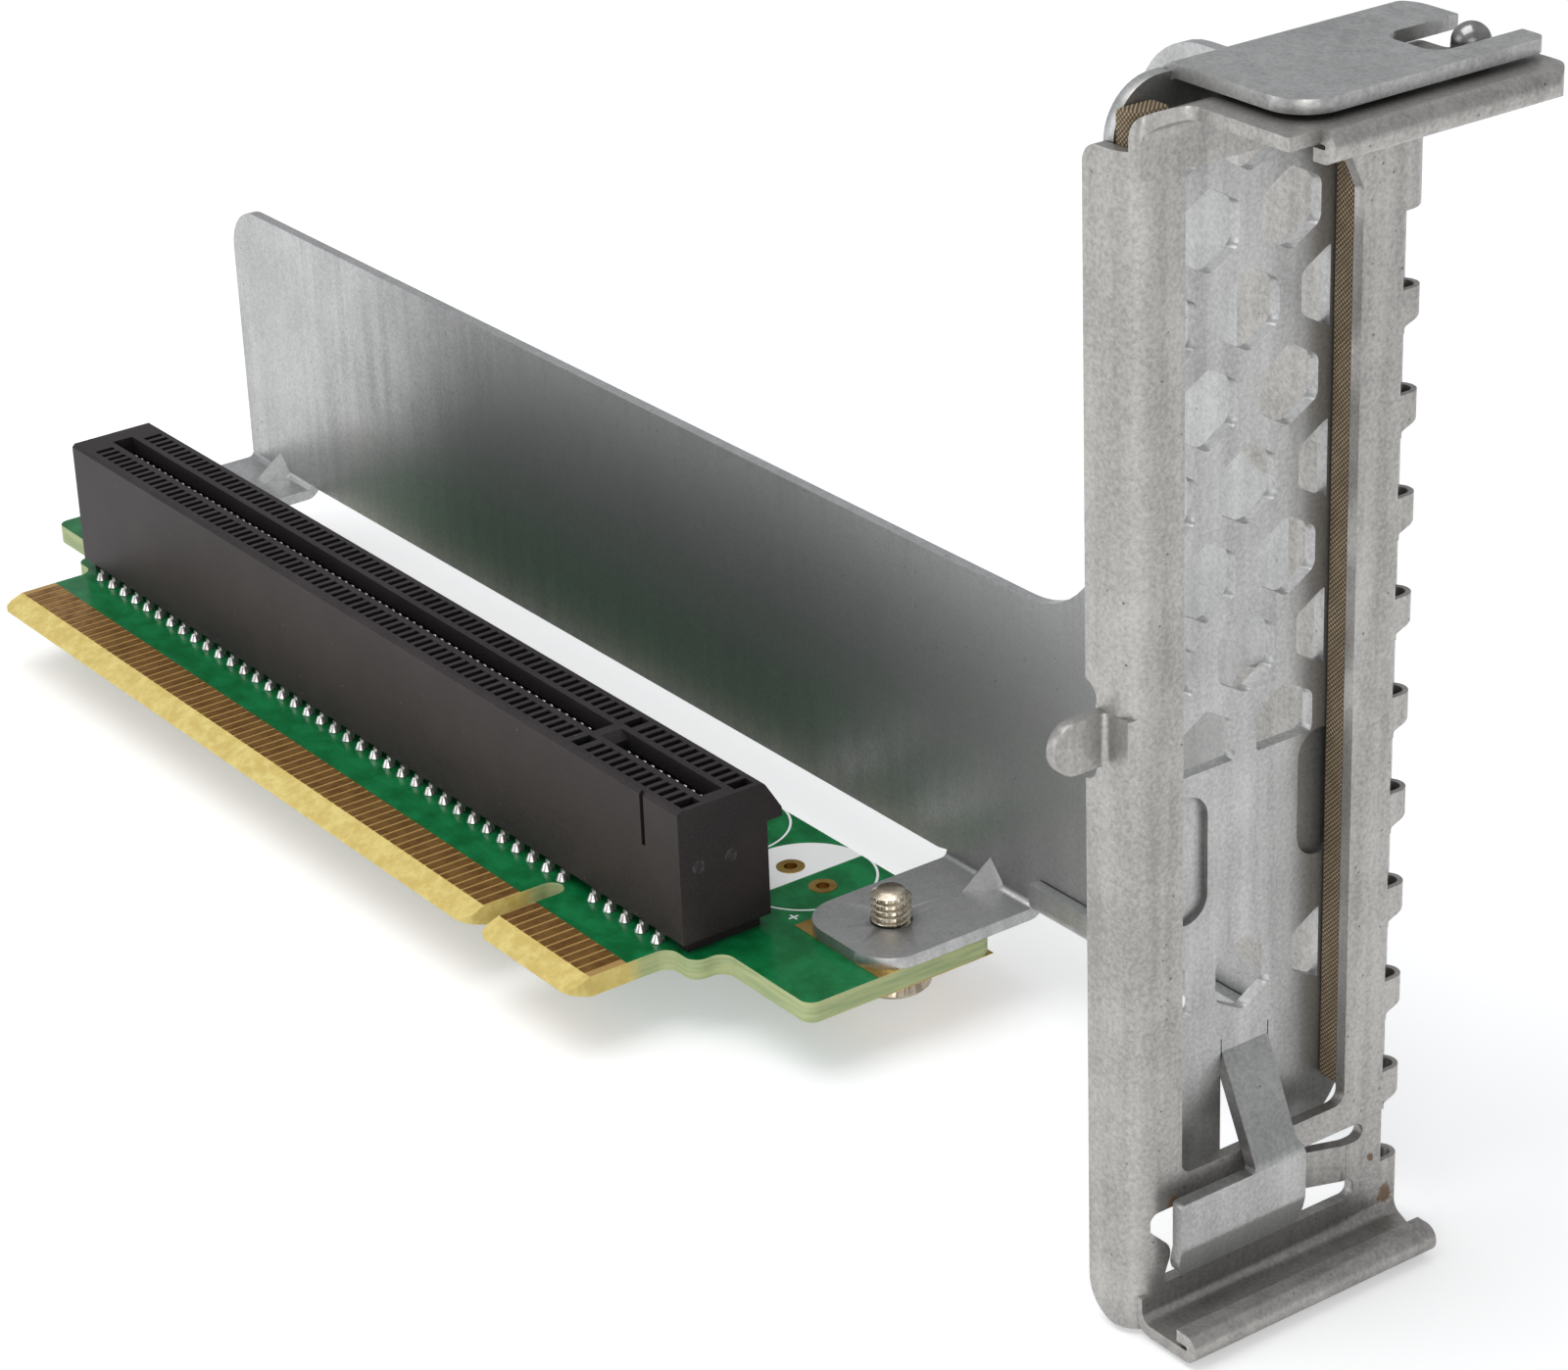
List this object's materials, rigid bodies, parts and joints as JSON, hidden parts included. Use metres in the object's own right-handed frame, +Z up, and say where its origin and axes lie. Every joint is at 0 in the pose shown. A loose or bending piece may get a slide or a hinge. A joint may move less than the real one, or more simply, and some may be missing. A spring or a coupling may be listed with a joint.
{
  "type": "riser card",
  "caption": "Server riser card: a slot connector on a small board, screwed to a steel bracket that carries the rear slot frame and its vented blank cover.",
  "frame": {"origin": "middle of the card slot's key at the board's upper face", "axes": "+X along the card slot towards the rear panel, +Y from the gold card edge towards the steel spine, +Z up out of the slot"},
  "size_m": [0.1575, 0.0316, 0.0805],
  "materials": {
    "solder_mask": "glossy green solder mask over glass-fibre board",
    "gold": "thin gold plating",
    "black_moulding": "moulded black, fine satin texture",
    "contact_metal": "tinned and gold-flashed spring bronze",
    "bracket_steel": "dull zinc-coated sheet",
    "frame_steel": "dull zinc-coated sheet with small rust spots",
    "nickel_screw": "nickel plated, lightly worn",
    "gasket_cloth": "woven conductive cloth over foam"
  },
  "bodies": {
    "root": {"circuit_board": "solder_mask", "edge_contacts_top": "gold", "edge_contacts_bottom": "gold", "ground_pads_top": "gold", "ground_pads_bottom": "gold", "capacitor_eyelets": "gold", "slot_housing": "black_moulding", "left_outer_contacts": "contact_metal", "left_inner_contacts": "contact_metal", "right_outer_contacts": "contact_metal", "right_inner_contacts": "contact_metal", "riser_bracket": "bracket_steel", "near_board_screw": "nickel_screw", "far_board_screw": "nickel_screw", "slot_frame": "frame_steel", "locating_stud": "frame_steel", "slot_cover": "frame_steel", "left_gasket": "gasket_cloth", "right_gasket": "gasket_cloth"}
  },
  "joints": []
}
